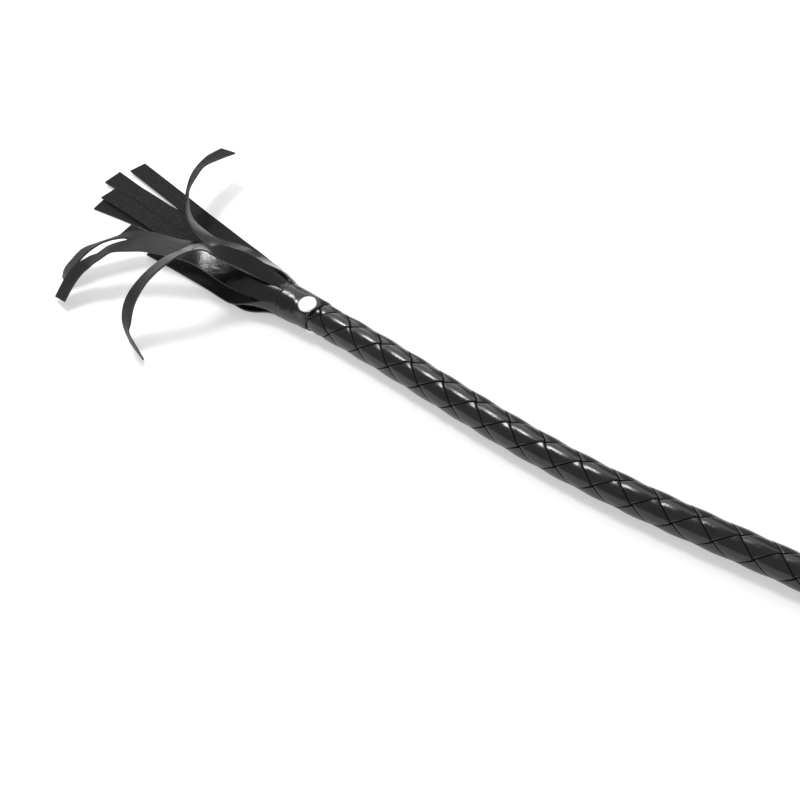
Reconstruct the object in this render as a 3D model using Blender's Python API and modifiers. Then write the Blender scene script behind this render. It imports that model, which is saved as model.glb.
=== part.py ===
"""Riding crop with a six-strand braided shaft and a keeper cut into falls.

The crop lies along X. The origin is the centre of the butt cap's flat face and
+X points out of it, so the shaft and the falls run to -X. +Z is up, and the
crop rests on a surface at z = -REST_RADIUS. Lengths below are in millimetres
and are scaled to metres as points are made. "Station" is the distance along
the shaft from the rivet: positive towards the butt, negative into the falls.
"""
import math

import bmesh
import bpy
from mathutils import Matrix, Vector

MM = 0.001

# Driving dimensions
RIVET_TO_BUTT = 440.0       # rivet centre to butt face
REST_RADIUS = 9.3           # shaft axis to the surface it lies on
SHEET = 0.8                 # thickness of the coated sheet of keeper and falls

# Slow S-bend of the shaft
BEND_START = -5.0
BEND_LENGTH = 316.0
BEND_DEPTH = 4.4            # half of the largest sideways shift

# Braid of six strands, three each way
BRAID_RADIUS = 7.6
BRAID_TUCKED = 6.3          # radius under the keeper and the ferrule
STRAND_THICKNESS = 0.9
WEAVE_LIFT = 0.6            # over and under, each side of the mean radius
CELL_LENGTH = 9.65          # along the shaft, crossing to crossing
CELL_ANGLE = 60.0
STRAND_GAP = 0.12           # part of a cell left between neighbours
BRAID_ORIGIN = 8.2          # station of the first visible crossing
BRAID_PHASE = 98.5          # angle of the crossings on the upper side
TIGHT_LAG = 0.6             # cells lost where the braid starts tighter
TIGHT_REACH = 3.0
START_TWIST = 22.0          # the first crossings lie turned under the keeper
START_TWIST_REACH = 1.6
FIRST_CELL = -1.0
LAST_CELL = 42.5
TUCK_TIP = (5.5, 13.0)      # stations between which the braid narrows
TUCK_BUTT = (400.0, 408.0)

# Core
ROD_RADIUS = 2.5
SLEEVE_RADIUS = 4.9
SLEEVE_BORE = 2.9
SLEEVE_STATIONS = (18.0, 396.0)
ROD_STATIONS = (6.0, RIVET_TO_BUTT - 5.0)

# Keeper
MOUTH = -18.0               # station where the falls leave the keeper
WRAP_END = 4.1              # mean station of its edge over the braid
WRAP_SLANT = 2.5            # the edge runs this much each side of the mean
WRAP_SLANT_ANGLE = 40.0
WRAP_DIP = (0.9, 142.0, 18.0)   # depth, angle and spread of a dip in that edge
WRAP_OUTER_BRAID = 8.35
WRAP_OUTER_MOUTH = 9.3
WRAP_LAP_ANGLE = 165.0      # free edge of the outer lap
WRAP_TURN = 395.0
WRAP_PITCH = 0.95           # radius lost in one turn
LINER_RADIUS = 6.95
LINER_START = -9.0
FAN_END = -92.0             # slits of the fan run on from here as falls
PLUG_RADIUS = 5.8
PLUG_NECK = 3.9
PLUG_STEP = -5.2
PLUG_STATIONS = (-17.6, 5.7)

# Rivet
RIVET_LEAN = 10.0           # degrees from +Z towards -Y
RIVET_SIDE = -1.5           # its axis passes this far beside the shaft axis
RIVET_CAP_RADIUS = 4.5
RIVET_SEAT = 7.8            # axis to the underside of the cap
RIVET_BACK_SEAT = 8.0
RIVET_CAP_HEIGHT = 1.3
RIVET_BACK_RADIUS = 2.6
RIVET_BACK_HEIGHT = 0.4
RIVET_POST = 1.5
FIT_GAP = 0.35

# Butt
FERRULE = (-34.0, -12.0)    # along X
FERRULE_RADII = (8.0, 9.1)
BINDING = (-28.0, -22.0)
BINDING_RADII = (7.3, 7.7)
CAP_NECK_RADIUS = 7.6
CAP_NECK_START = -15.6
CAP_EDGE = 2.4
CAP_BORE = (2.9, -4.6)

# Falls
FALL_WIDTH = 9.2
FAN_FALL_WIDTH = 8.8
ROOT_NARROWING = 0.29
ROOT_REACH = 22.0
SPLINE_STEPS = 2

# Centreline of each fall: station, y, z and twist in degrees. The angle is
# where the fall starts round the keeper's mouth, from +Y towards +Z.
RING_FALLS = {
    "fall_curl_near": (86, (
        (-18.5, 0.6, 8.3, 0), (-33, -4, 15, -10), (-42, -11, 21, 0),
        (-49, -17, 25, 30), (-52, -26, 27, 50), (-56, -35, 25, 45),
        (-60, -44, 19, 40), (-62, -52, 11, 30), (-61, -57, 3, 30),
        (-57, -60.3, -2.5, 50), (-46, -64.9, -4.6, 60))),
    "fall_curl_front": (133, (
        (-18.5, -5.7, 6.1, 0), (-38, -9, 7, 20), (-59, -9, 9, 30),
        (-69, -13, 10.5, 45), (-81, -19, 11.5, 50), (-87, -24, 11.5, 60),
        (-94, -30, 10, 73), (-97, -36, 7.5, 76), (-100, -40, 5, 66),
        (-102, -45, 2.5, 61), (-103, -50.5, -1.8, 60), (-103, -57, -7.3, 61))),
    "fall_curl_back": (125, (
        (-18.5, -4, 5.7, 0), (-42, -4, 4.5, 20), (-65, -2, 5, 30),
        (-77, -6, 5.5, 40), (-89, -10, 6.5, 45), (-96, -15, 7.5, 55),
        (-100, -21, 8, 73), (-104, -28, 7.5, 76), (-107, -35, 6, 66),
        (-108, -41, 3.5, 66), (-109, -46, 0, 66), (-109, -49, -3, 76))),
    "fall_curl_far": (36, (
        (-18.5, 6.7, 4.9, 0), (-26, 9.3, 6.2, -10), (-47, 8, 7, -45),
        (-64, 5, 7, -40), (-79, 9, 8.5, -10), (-87, 15, 10.5, 25), (-91, 19, 12, 36),
        (-95, 26, 12.5, 52), (-100, 37, 12, 70), (-102, 49.5, 10.3, 96),
        (-102, 60.5, 8, 106))),
    "fall_flat_4": (-78, (
        (-18.5, 1.7, -8.1, 0), (-27, 3, -8.6, 10), (-40, 5, -8.8, 12),
        (-70, 9.6, -8.8, 12), (-100, 11, -8.8, 12), (-120, 9.5, -8.8, 12),
        (-138.5, 7.3, -8.8, 12))),
    "fall_flat_5": (-130, (
        (-18.5, -5.3, -6.4, 0), (-27, -5.6, -7.6, -32), (-40, -4.7, -8.6, -40),
        (-70, -0.3, -8.8, -40), (-95, 1.2, -8.8, -40), (-115, 0, -8.8, -40))),
    "fall_flat_6": (180, (
        (-18.5, -8.3, 0, 0), (-27, -9, -3.5, -45), (-40, -6.5, -7.2, -85),
        (-56, -4.9, -7.4, -90), (-75, -4, -7.4, -90), (-94, -3.6, -7.4, -90))),
    "fall_flat_7": (-25, (
        (-18.5, 7.5, -3.5, 0), (-24, 10.3, -5.6, 35), (-28, 12.2, -6.9, 50),
        (-34, 14.6, -8.2, 60), (-40, 16.2, -8.7, 65), (-70, 19.9, -8.8, 65),
        (-100, 21.2, -8.8, 65), (-120, 22, -8.8, 65), (-147, 26, -8.8, 65))),
}

# The two curls that cross are set apart along one direction, by this much from
# their fifth point on, so that each can swing clear of the other
SPREAD_DIRECTION = (0.46, -0.59, 0.67)
SPREAD = {"fall_curl_front": 2.0, "fall_curl_back": -5.0}

# The three strips that end the fan, from their slits to their tips
FAN_FALLS = {
    "fall_flat_1": ((-92.5, 28.1, -7.4), (-117, 33.3, -7.4), (-142, 38.4, -7.6)),
    "fall_flat_2": ((-92.5, 18.9, -7.4), (-118, 22.1, -7.4), (-146, 24.4, -7.6)),
    "fall_flat_3": ((-92.5, 9.7, -7.4), (-118, 12.7, -7.4), (-139.5, 14.6, -7.6)),
}

# Edges of the fan as it opens out of the liner: station, y, z
FAN_FAR_EDGE = ((-18, 6.95, 0.0), (-21, 9.3, 0.6), (-25, 12.6, 1.6), (-32, 14.7, 1.6),
                (-45, 21.0, -4.0), (-60, 26.0, -7.0), (-92, 32.4, -7.4))
FAN_NEAR_EDGE = ((-18, -6.95, 0.0), (-24, -6, -4.0), (-32, -2.5, -6.5), (-45, 0.2, -7.4),
                 (-60, 0.9, -7.4), (-92, 5.2, -7.4))

COLOURS = {
    "patent": ((0.012, 0.012, 0.014), 0.16, 0.0),
    "braid": ((0.014, 0.014, 0.016), 0.22, 0.0),
    "nickel": ((0.80, 0.80, 0.79), 0.18, 1.0),
    "plug": ((0.045, 0.035, 0.030), 0.70, 0.0),
    "filler": ((0.10, 0.10, 0.10), 0.80, 0.0),
    "fibre": ((0.55, 0.56, 0.50), 0.45, 0.0),
    "thread": ((0.02, 0.02, 0.02), 0.75, 0.0),
    "plastic": ((0.015, 0.015, 0.016), 0.35, 0.0),
}


def clear_scene():
    """Remove whatever the scene starts with."""
    for obj in list(bpy.data.objects):
        bpy.data.objects.remove(obj, do_unlink=True)


def make_material(name):
    colour, roughness, metallic = COLOURS[name]
    material = bpy.data.materials.get(name)
    if material is None:
        material = bpy.data.materials.new(name)
        material.use_nodes = True
        shader = material.node_tree.nodes["Principled BSDF"]
        shader.inputs["Base Color"].default_value = (*colour, 1.0)
        shader.inputs["Roughness"].default_value = roughness
        shader.inputs["Metallic"].default_value = metallic
    return material


def add_object(name, data, material, collection):
    obj = bpy.data.objects.new(name, data)
    obj.data.materials.append(make_material(material))
    collection.objects.link(obj)
    return obj


def smoothstep(value, low, high):
    t = min(max((value - low) / (high - low), 0.0), 1.0)
    return t * t * (3.0 - 2.0 * t)


def station_to_x(station):
    return station - RIVET_TO_BUTT


def bend(station):
    """Sideways shift of the shaft's centreline and its slope at a station."""
    turn = 2.0 * math.pi / BEND_LENGTH
    along = min(max(station - BEND_START, 0.0), BEND_LENGTH)
    shift = -BEND_DEPTH * (1.0 - math.cos(turn * along))
    slope = -BEND_DEPTH * turn * math.sin(turn * along)
    return shift, slope


def shaft_point(station, radius, degrees):
    """Point at a radius and an angle from +Y towards +Z, on the bent shaft."""
    shift, slope = bend(station)
    angle = math.radians(degrees)
    lean = math.atan(slope)
    across = radius * math.cos(angle)
    x = station_to_x(station) - across * math.sin(lean)
    y = shift + across * math.cos(lean)
    return Vector((x, y, radius * math.sin(angle))) * MM


def slab_mesh(name, top, bottom):
    """Closed sheet between two grids of points, split along their diagonals."""
    mesh = bpy.data.meshes.new(name)
    bm = bmesh.new()
    upper = [[bm.verts.new(p) for p in row] for row in top]
    lower = [[bm.verts.new(p) for p in row] for row in bottom]
    rows = len(upper)
    cols = len(upper[0])

    def quad(a, b, c, d):
        bm.faces.new((a, b, c))
        bm.faces.new((a, c, d))

    for r in range(rows - 1):
        for c in range(cols - 1):
            quad(upper[r][c], upper[r + 1][c], upper[r + 1][c + 1], upper[r][c + 1])
            quad(lower[r][c], lower[r + 1][c], lower[r + 1][c + 1], lower[r][c + 1])
        for c in (0, cols - 1):
            quad(upper[r][c], upper[r + 1][c], lower[r + 1][c], lower[r][c])
    for r in (0, rows - 1):
        for c in range(cols - 1):
            quad(upper[r][c], upper[r][c + 1], lower[r][c + 1], lower[r][c])
    bmesh.ops.recalc_face_normals(bm, faces=bm.faces)
    bm.to_mesh(mesh)
    bm.free()
    return mesh


def turned(name, profile, material, collection, steps=32):
    """Turn a closed profile of (x, radius) round the X axis."""
    mesh = bpy.data.meshes.new(name)
    points = [(radius * MM, 0.0, x * MM) for x, radius in profile]
    edges = [(i, (i + 1) % len(points)) for i in range(len(points))]
    if profile[0][1] == 0.0 and profile[-1][1] == 0.0:
        edges.pop()
    mesh.from_pydata(points, edges, [])
    obj = add_object(name, mesh, material, collection)
    obj.rotation_euler = (0.0, math.pi / 2.0, 0.0)
    screw = obj.modifiers.new("Turn", "SCREW")
    screw.axis = "Z"
    screw.angle = 2.0 * math.pi
    screw.steps = steps
    screw.render_steps = steps
    screw.use_merge_vertices = True
    screw.merge_threshold = 0.00001
    screw.use_smooth_shade = False
    return obj


def cut(obj, cutter):
    boolean = obj.modifiers.new("Cut", "BOOLEAN")
    boolean.operation = "DIFFERENCE"
    boolean.solver = "EXACT"
    boolean.object = cutter


def rivet_frame():
    """Matrix that stands the rivet at the origin of stations, leaning to -Y."""
    place = Matrix.Translation(Vector((station_to_x(0.0), RIVET_SIDE, 0.0)) * MM)
    return place @ Matrix.Rotation(math.radians(RIVET_LEAN), 4, "X")


# Braid

def braid_station(cells):
    """Station of a place along the braid, counted in cells."""
    lag = TIGHT_LAG * (1.0 - math.exp(-max(cells, 0.0) / TIGHT_REACH))
    if cells < 0.0:
        lag = TIGHT_LAG / TIGHT_REACH * cells
    return BRAID_ORIGIN + CELL_LENGTH * (cells - lag)


def braid_angle(cells, turn):
    """Angle of a place on the braid, with the extra twist at its start."""
    twist = START_TWIST * math.exp(-max(cells, 0.0) / START_TWIST_REACH)
    return BRAID_PHASE + CELL_ANGLE * turn + twist


def braid_outer_radius(station):
    tip = smoothstep(station, *TUCK_TIP)
    butt = 1.0 - smoothstep(station, *TUCK_BUTT)
    return BRAID_TUCKED + (BRAID_RADIUS - BRAID_TUCKED) * tip * butt


def braid_point(along, across, level, face, hand):
    """Point on a strand: hand +1 winds one way and -1 the other."""
    cells = along + across
    turn = (along - across) * hand
    station = braid_station(cells)
    mean = braid_outer_radius(station) - STRAND_THICKNESS / 2.0 - WEAVE_LIFT
    radius = mean + WEAVE_LIFT * level + face * STRAND_THICKNESS / 2.0
    return shaft_point(station, radius, braid_angle(cells, turn))


def strand_rows():
    """Places along a strand, from a cell's middle to another's."""
    half = STRAND_GAP / 2.0
    first = math.floor(FIRST_CELL)
    last = math.floor(LAST_CELL)
    rows = []
    for cell in range(first, last + 1):
        for part in (half, 0.5, 1.0 - half):
            place = cell + part
            if FIRST_CELL <= place <= LAST_CELL:
                rows.append((cell, place))
    return rows


def build_strand(name, index, hand, post_cutter, collection):
    half = STRAND_GAP / 2.0
    grids = {1: [], -1: []}
    for cell, place in strand_rows():
        over = (cell % 2 == 0) == (hand > 0)
        level = 1.0 if over else -1.0
        for face, grid in grids.items():
            row = []
            for part in (half, 0.5, 1.0 - half):
                row.append(braid_point(place - index, index + part, level, face, hand))
            grid.append(row)
    strand = add_object(name, slab_mesh(name, grids[1], grids[-1]), "braid", collection)
    cut(strand, post_cutter)
    return strand


# Core

def build_rod(collection):
    start, end = ROD_STATIONS
    count = 34
    curve = bpy.data.curves.new("core_rod", "CURVE")
    curve.dimensions = "3D"
    curve.bevel_depth = ROD_RADIUS * MM
    curve.bevel_resolution = 2
    curve.use_fill_caps = True
    spline = curve.splines.new("POLY")
    spline.points.add(count - 1)
    for i, point in enumerate(spline.points):
        station = start + (end - start) * i / (count - 1)
        point.co = (*shaft_point(station, 0.0, 0.0), 1.0)
    return add_object("core_rod", curve, "fibre", collection)


def build_sleeve(collection):
    start, end = SLEEVE_STATIONS
    count = 19
    sides = 12
    mesh = bpy.data.meshes.new("core_sleeve")
    bm = bmesh.new()
    rings = []
    for i in range(count):
        station = start + (end - start) * i / (count - 1)
        ring = []
        for radius in (SLEEVE_RADIUS, SLEEVE_BORE):
            points = [shaft_point(station, radius, 360.0 * k / sides) for k in range(sides)]
            ring.append([bm.verts.new(p) for p in points])
        rings.append(ring)
    for k in range(sides):
        m = (k + 1) % sides
        for near, far in zip(rings[:-1], rings[1:]):
            for wall in (0, 1):
                bm.faces.new((near[wall][k], near[wall][m], far[wall][m], far[wall][k]))
        for outer, inner in (rings[0], rings[-1]):
            bm.faces.new((outer[k], outer[m], inner[m], inner[k]))
    bmesh.ops.recalc_face_normals(bm, faces=bm.faces)
    bm.to_mesh(mesh)
    bm.free()
    return add_object("core_sleeve", mesh, "filler", collection)


# Keeper

def wrap_outer_radius(station):
    share = (station - WRAP_END) / (MOUTH - WRAP_END)
    return WRAP_OUTER_BRAID + (WRAP_OUTER_MOUTH - WRAP_OUTER_BRAID) * share


def edge_dip(angle):
    depth, centre, spread = WRAP_DIP
    return depth * math.exp(-((angle - centre) / spread) ** 2)


def build_wrap(pocket_cutters, collection):
    """Sheet rolled round the tip a little over one turn, wider at its mouth."""
    steps = 40
    grids = {0: [], 1: []}
    for share in (0.0, 0.5, 1.0):
        for side, grid in grids.items():
            row = []
            for i in range(steps + 1):
                sweep = WRAP_TURN * i / steps
                angle = WRAP_LAP_ANGLE - sweep
                slant = math.cos(math.radians(angle - WRAP_SLANT_ANGLE))
                edge = WRAP_END + WRAP_SLANT * slant - edge_dip(angle)
                station = MOUTH + (edge - MOUTH) * share
                radius = wrap_outer_radius(station) - WRAP_PITCH * sweep / 360.0
                row.append(shaft_point(station, radius - side * SHEET, angle))
            grid.append(row)
    wrap = add_object("keeper_wrap", slab_mesh("keeper_wrap", grids[0], grids[1]),
                      "patent", collection)
    for cutter in pocket_cutters:
        cut(wrap, cutter)
    return wrap


def edge_at(edge, station):
    """Point of a fan edge at a station, eased between its listed points."""
    for (x0, y0, z0), (x1, y1, z1) in zip(edge[:-1], edge[1:]):
        if x1 <= station <= x0:
            t = (station - x0) / (x1 - x0)
            return y0 + (y1 - y0) * t, z0 + (z1 - z0) * t
    return edge[-1][1:]


def build_liner(collection):
    """Inner turn of the sheet: a half tube that opens out into the flat fan."""
    across = 12
    stations = (LINER_START, -14.0, MOUTH, -21.0, -24.0, -28.0, -32.0, -38.0,
                -45.0, -52.0, -60.0, -76.0, FAN_END)
    grids = {0: [], 1: []}
    for station in stations:
        far = edge_at(FAN_FAR_EDGE, min(station, MOUTH))
        near = edge_at(FAN_NEAR_EDGE, min(station, MOUTH))
        flat = smoothstep(-station, -MOUTH, 52.0)
        for side, grid in grids.items():
            row = []
            for k in range(across + 1):
                share = k / across
                angle = -math.pi * share
                arc_y = math.cos(angle)
                arc_z = math.sin(angle)
                middle = (far[0] + near[0]) / 2.0
                half = (far[0] - near[0]) / 2.0
                base = far[1] + (near[1] - far[1]) * share
                y = middle + half * arc_y * (1.0 - flat) + half * (1.0 - 2.0 * share) * flat
                z = base + (LINER_RADIUS + base) * arc_z * (1.0 - flat)
                lift = side * SHEET
                normal = Vector((0.0, -arc_y * (1.0 - flat), -arc_z * (1.0 - flat) + flat))
                normal.normalize()
                point = Vector((station_to_x(station), y, z)) + normal * lift
                row.append(point * MM)
            grid.append(row)
    return add_object("keeper_liner", slab_mesh("keeper_liner", grids[0], grids[1]),
                      "patent", collection)


def build_plug(post_cutter, collection):
    first, last = (station_to_x(s) for s in PLUG_STATIONS)
    step = station_to_x(PLUG_STEP)
    profile = ((last, 0.0), (last, PLUG_NECK), (step, PLUG_NECK), (step, PLUG_RADIUS),
               (first, PLUG_RADIUS), (first, 0.0))
    plug = turned("tip_plug", profile, "plug", collection, steps=24)
    cut(plug, post_cutter)
    return plug


# Rivet

def cylinder(name, radius, low, high, sides, collection, material="nickel"):
    """Cylinder along the rivet's axis."""
    mesh = bpy.data.meshes.new(name)
    bm = bmesh.new()
    middle = (low + high) / 2.0 * MM
    bmesh.ops.create_cone(bm, cap_ends=True, segments=sides, radius1=radius * MM,
                          radius2=radius * MM, depth=(high - low) * MM,
                          matrix=Matrix.Translation((0.0, 0.0, middle)))
    bm.to_mesh(mesh)
    bm.free()
    obj = add_object(name, mesh, material, collection)
    obj.matrix_world = rivet_frame()
    return obj


def build_cutter(name, radius, low, high, cutters):
    cutter = cylinder(name, radius, low, high, 24, cutters)
    cutter.hide_render = True
    cutter.display_type = "WIRE"
    return cutter


def build_rivet_cap(collection):
    """Low domed cap, turned round the rivet's axis."""
    mesh = bpy.data.meshes.new("rivet_cap")
    rise = RIVET_CAP_HEIGHT
    rim = rise * 0.35
    profile = [(0.0, RIVET_SEAT + rise)]
    for i in range(1, 5):
        part = i / 5.0
        height = rim + (rise - rim) * math.sqrt(1.0 - part * part)
        profile.append((RIVET_CAP_RADIUS * part, RIVET_SEAT + height))
    profile += [(RIVET_CAP_RADIUS, RIVET_SEAT + rim), (RIVET_CAP_RADIUS, RIVET_SEAT),
                (0.0, RIVET_SEAT)]
    points = [(radius * MM, 0.0, height * MM) for radius, height in profile]
    mesh.from_pydata(points, [(i, i + 1) for i in range(len(points) - 1)], [])
    cap = add_object("rivet_cap", mesh, "nickel", collection)
    cap.matrix_world = rivet_frame()
    screw = cap.modifiers.new("Turn", "SCREW")
    screw.steps = 28
    screw.render_steps = 28
    screw.use_merge_vertices = True
    screw.merge_threshold = 0.00001
    screw.use_smooth_shade = False
    return cap


def build_rivet_base(collection):
    """Post and flat back cap in one turned piece."""
    mesh = bpy.data.meshes.new("rivet_base")
    back = -RIVET_BACK_SEAT - RIVET_BACK_HEIGHT
    profile = ((0.0, RIVET_SEAT - FIT_GAP), (RIVET_POST, RIVET_SEAT - FIT_GAP),
               (RIVET_POST, -RIVET_BACK_SEAT), (RIVET_BACK_RADIUS, -RIVET_BACK_SEAT),
               (RIVET_BACK_RADIUS, back), (0.0, back))
    points = [(radius * MM, 0.0, height * MM) for radius, height in profile]
    mesh.from_pydata(points, [(i, i + 1) for i in range(len(points) - 1)], [])
    base = add_object("rivet_base", mesh, "nickel", collection)
    base.matrix_world = rivet_frame()
    screw = base.modifiers.new("Turn", "SCREW")
    screw.steps = 24
    screw.render_steps = 24
    screw.use_merge_vertices = True
    screw.merge_threshold = 0.00001
    screw.use_smooth_shade = False
    return base


# Falls

def spline_points(points, steps):
    """Catmull-Rom curve through rows of numbers."""
    rows = [Vector(p) for p in points]
    rows = [2.0 * rows[0] - rows[1]] + rows + [2.0 * rows[-1] - rows[-2]]
    curve = []
    for i in range(1, len(rows) - 2):
        p0, p1, p2, p3 = rows[i - 1:i + 3]
        for k in range(steps):
            t = k / steps
            curve.append(0.5 * (2.0 * p1 + (p2 - p0) * t
                                + (2.0 * p0 - 5.0 * p1 + 4.0 * p2 - p3) * t * t
                                + (3.0 * p1 - p0 - 3.0 * p2 + p3) * t ** 3))
    curve.append(rows[-2])
    return curve


def carried_sides(path, side):
    """Side direction carried along a path without twisting."""
    count = len(path)
    tangents = []
    for i in range(count):
        ahead = path[min(i + 1, count - 1)]
        behind = path[max(i - 1, 0)]
        tangents.append((ahead - behind).normalized())
    side = (side - side.dot(tangents[0]) * tangents[0]).normalized()
    sides = [side]
    for before, after in zip(tangents[:-1], tangents[1:]):
        side = before.rotation_difference(after) @ side
        side = (side - side.dot(after) * after).normalized()
        sides.append(side)
    return tangents, sides


def build_fall(name, points, start_side, width, narrowing_depth, collection):
    """Strip of sheet along a centreline of station, y, z and twist.

    Its origin is its root, where it hinges on the keeper.
    """
    curve = spline_points(points, SPLINE_STEPS)
    path = [Vector((station_to_x(p[0]), p[1], p[2])) for p in curve]
    tangents, sides = carried_sides(path, start_side)
    top = []
    bottom = []
    travelled = 0.0
    for i, point in enumerate(path):
        if i > 0:
            travelled += (point - path[i - 1]).length
        narrowing = narrowing_depth * math.exp(-(travelled / ROOT_REACH) ** 2)
        half = width * (1.0 - narrowing) / 2.0
        twist = Matrix.Rotation(math.radians(curve[i][3]), 3, tangents[i])
        side = twist @ sides[i]
        face = side.cross(tangents[i]).normalized() * SHEET / 2.0
        if i == 0:
            side = start_side.normalized()
            face = Vector((1.0, 0.0, 0.0)).cross(side).normalized() * SHEET / 2.0
        edges = (point + side * half, point - side * half)
        top.append([(p + face) * MM for p in edges])
        bottom.append([(p - face) * MM for p in edges])
    root = path[0] * MM
    mesh = slab_mesh(name, top, bottom)
    mesh.transform(Matrix.Translation(-root))
    fall = add_object(name, mesh, "patent", collection)
    fall.location = root
    return fall


def spread_points(name, points, first):
    """Centreline with its share of the spread; first is the place of its first point."""
    amount = SPREAD.get(name, 0.0)
    moved = []
    for i, (station, y, z, twist) in enumerate(points):
        step = amount * min((first + i) / 4.0, 1.0)
        along, across, up = (step * part for part in SPREAD_DIRECTION)
        moved.append((station + along, y + across, z + up, twist))
    return moved


def build_falls(collection):
    for name, (degrees, points) in RING_FALLS.items():
        angle = math.radians(degrees)
        side = Vector((0.0, -math.sin(angle), math.cos(angle)))
        build_fall(name, spread_points(name, points, 0), side, FALL_WIDTH,
                   ROOT_NARROWING, collection)
    for name, points in FAN_FALLS.items():
        build_fall(name, [(*p, 0.0) for p in points], Vector((0.0, 1.0, 0.0)),
                   FAN_FALL_WIDTH, 0.0, collection)


# Butt

def build_butt(collection):
    start, end = FERRULE
    inner, outer = FERRULE_RADII
    chamfer = 0.4
    turned("butt_ferrule", ((end, inner), (end, outer - chamfer), (end - chamfer, outer),
                            (start + chamfer, outer), (start, outer - chamfer),
                            (start, inner)), "nickel", collection)
    start, end = BINDING
    inner, outer = BINDING_RADII
    turned("butt_binding", ((end, inner), (end, outer), (start, outer), (start, inner)),
           "thread", collection, steps=24)
    bore, bottom = CAP_BORE
    shoulder = FERRULE[1] + FIT_GAP
    profile = [(0.0, 0.0)]
    for i in range(5):
        angle = math.pi / 2.0 * i / 4.0
        profile.append((-CAP_EDGE * (1.0 - math.cos(angle)),
                        REST_RADIUS - CAP_EDGE * (1.0 - math.sin(angle))))
    profile += [(shoulder, REST_RADIUS), (shoulder, CAP_NECK_RADIUS),
                (CAP_NECK_START, CAP_NECK_RADIUS), (CAP_NECK_START, bore),
                (bottom, bore), (bottom, 0.0)]
    turned("butt_cap", profile, "plastic", collection)


def main():
    clear_scene()
    scene = bpy.context.scene
    collection = bpy.data.collections.new("riding_crop")
    cutters = bpy.data.collections.new("cutters")
    scene.collection.children.link(collection)
    scene.collection.children.link(cutters)

    hole = RIVET_POST + FIT_GAP
    post_cutter = build_cutter("cut_post", hole, -12.0, 12.0, cutters)
    upper_cutter = build_cutter("cut_cap_seat", RIVET_CAP_RADIUS + FIT_GAP,
                                RIVET_SEAT - FIT_GAP, 12.0, cutters)
    lower_cutter = build_cutter("cut_back_seat", RIVET_BACK_RADIUS + FIT_GAP, -12.0,
                                FIT_GAP - RIVET_BACK_SEAT, cutters)

    for index in range(3):
        build_strand(f"strand_left_{index + 1}", index, 1, post_cutter, collection)
        build_strand(f"strand_right_{index + 1}", index, -1, post_cutter, collection)
    build_rod(collection)
    build_sleeve(collection)
    build_wrap((post_cutter, upper_cutter, lower_cutter), collection)
    build_liner(collection)
    build_plug(post_cutter, collection)
    build_rivet_cap(collection)
    build_rivet_base(collection)
    build_falls(collection)
    build_butt(collection)


main()
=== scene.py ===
"""Looks for the riding crop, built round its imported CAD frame."""
import math

import bmesh
import bpy
from mathutils import Matrix, Vector, noise


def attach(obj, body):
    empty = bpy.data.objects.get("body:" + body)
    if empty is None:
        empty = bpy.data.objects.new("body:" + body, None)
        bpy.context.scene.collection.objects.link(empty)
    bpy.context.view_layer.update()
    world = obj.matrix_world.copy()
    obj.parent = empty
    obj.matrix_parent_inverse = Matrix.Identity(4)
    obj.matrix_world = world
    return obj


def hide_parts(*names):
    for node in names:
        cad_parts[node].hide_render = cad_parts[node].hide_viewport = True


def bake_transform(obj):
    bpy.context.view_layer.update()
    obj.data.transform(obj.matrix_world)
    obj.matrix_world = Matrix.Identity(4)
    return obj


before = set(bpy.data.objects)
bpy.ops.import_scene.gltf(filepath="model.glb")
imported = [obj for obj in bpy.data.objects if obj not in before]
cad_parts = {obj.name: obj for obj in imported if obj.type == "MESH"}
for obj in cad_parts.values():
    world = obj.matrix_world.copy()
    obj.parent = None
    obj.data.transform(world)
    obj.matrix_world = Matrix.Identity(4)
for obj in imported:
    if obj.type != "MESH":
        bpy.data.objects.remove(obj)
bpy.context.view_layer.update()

MM = 0.001

# Millimetres and degrees, unless said otherwise. Stations are counted from the rivet,
# towards the butt, so the falls have negative ones.

# Shaft and rivet, as in the CAD
RIVET_TO_BUTT = 440.0
REST_RADIUS = 9.3
BEND_START = -5.0
BEND_LENGTH = 316.0
BEND_DEPTH = 4.4
RIVET_LEAN = 10.0
RIVET_SIDE = -1.5

# Camera, at the photograph's angle
CAMERA_AZIMUTH = 38.0
CAMERA_ELEVATION = 42.0
CAMERA_DISTANCE = 1.25
CAMERA_TARGET = (-0.3725, -0.0039, 0.0)
CAMERA_LENS = 127.5
CAMERA_SHIFT = (-0.030, -0.0255)

# Studio, in metres. A softbox is its name, place, the x it aims at, size and watts
FLOOR_HALF = 6.0
FLOOR_GAP = 0.0001
WORLD_STRENGTH = 0.35
SOFTBOXES = (
    ("key", (-0.97, -0.01, 1.20), -0.40, (0.30, 0.25), 6.0),
    ("overhead", (-1.09, 0.50, 1.23), -0.40, (1.2, 1.0), 4.8),
    ("rim", (-1.5, 1.2, 0.8), -0.45, (0.8, 0.5), 3.0),
)

# Braid
BRAID_UNDER = 6.1           # a strand's radius where it passes under
BRAID_STEP = 1.0            # how far it climbs to pass over
BRAID_CLIMB = 0.045         # part of a cell the climb takes
BRAID_PILLOW = 0.45         # swelling of a strand where it lies on top
BRAID_THICKNESS = 0.8
BRAID_TUCK = 0.9            # how far the ends sink under the keeper and the ferrule
PILLOW_POWER = 2.2          # the higher, the flatter its top
CELL_LENGTH = 9.65
CELL_ANGLE = 60.0
BRAID_ORIGIN = 8.2          # station from which the cells are counted
BRAID_PHASE = 98.5          # angle of the first crossing there
TIGHT_LAG = 0.6             # cells by which the pulled-in start is shorter
TIGHT_REACH = 3.0           # and the cells over which that fades
START_TWIST = 22.0          # the start is turned this much
START_TWIST_REACH = 1.6     # and straightens over this many cells
STRAND_CELLS = (-2.0, 42.5)
STRAND_EDGE = 0.012         # part of its width left as the gap beside a strand
STRAND_UNDERSIDE = (0.97, 0.5, 0.03)
STRAND_WIDTH = 9.0
STRAND_LENGTH_PER_CELL = 11.0
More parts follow.
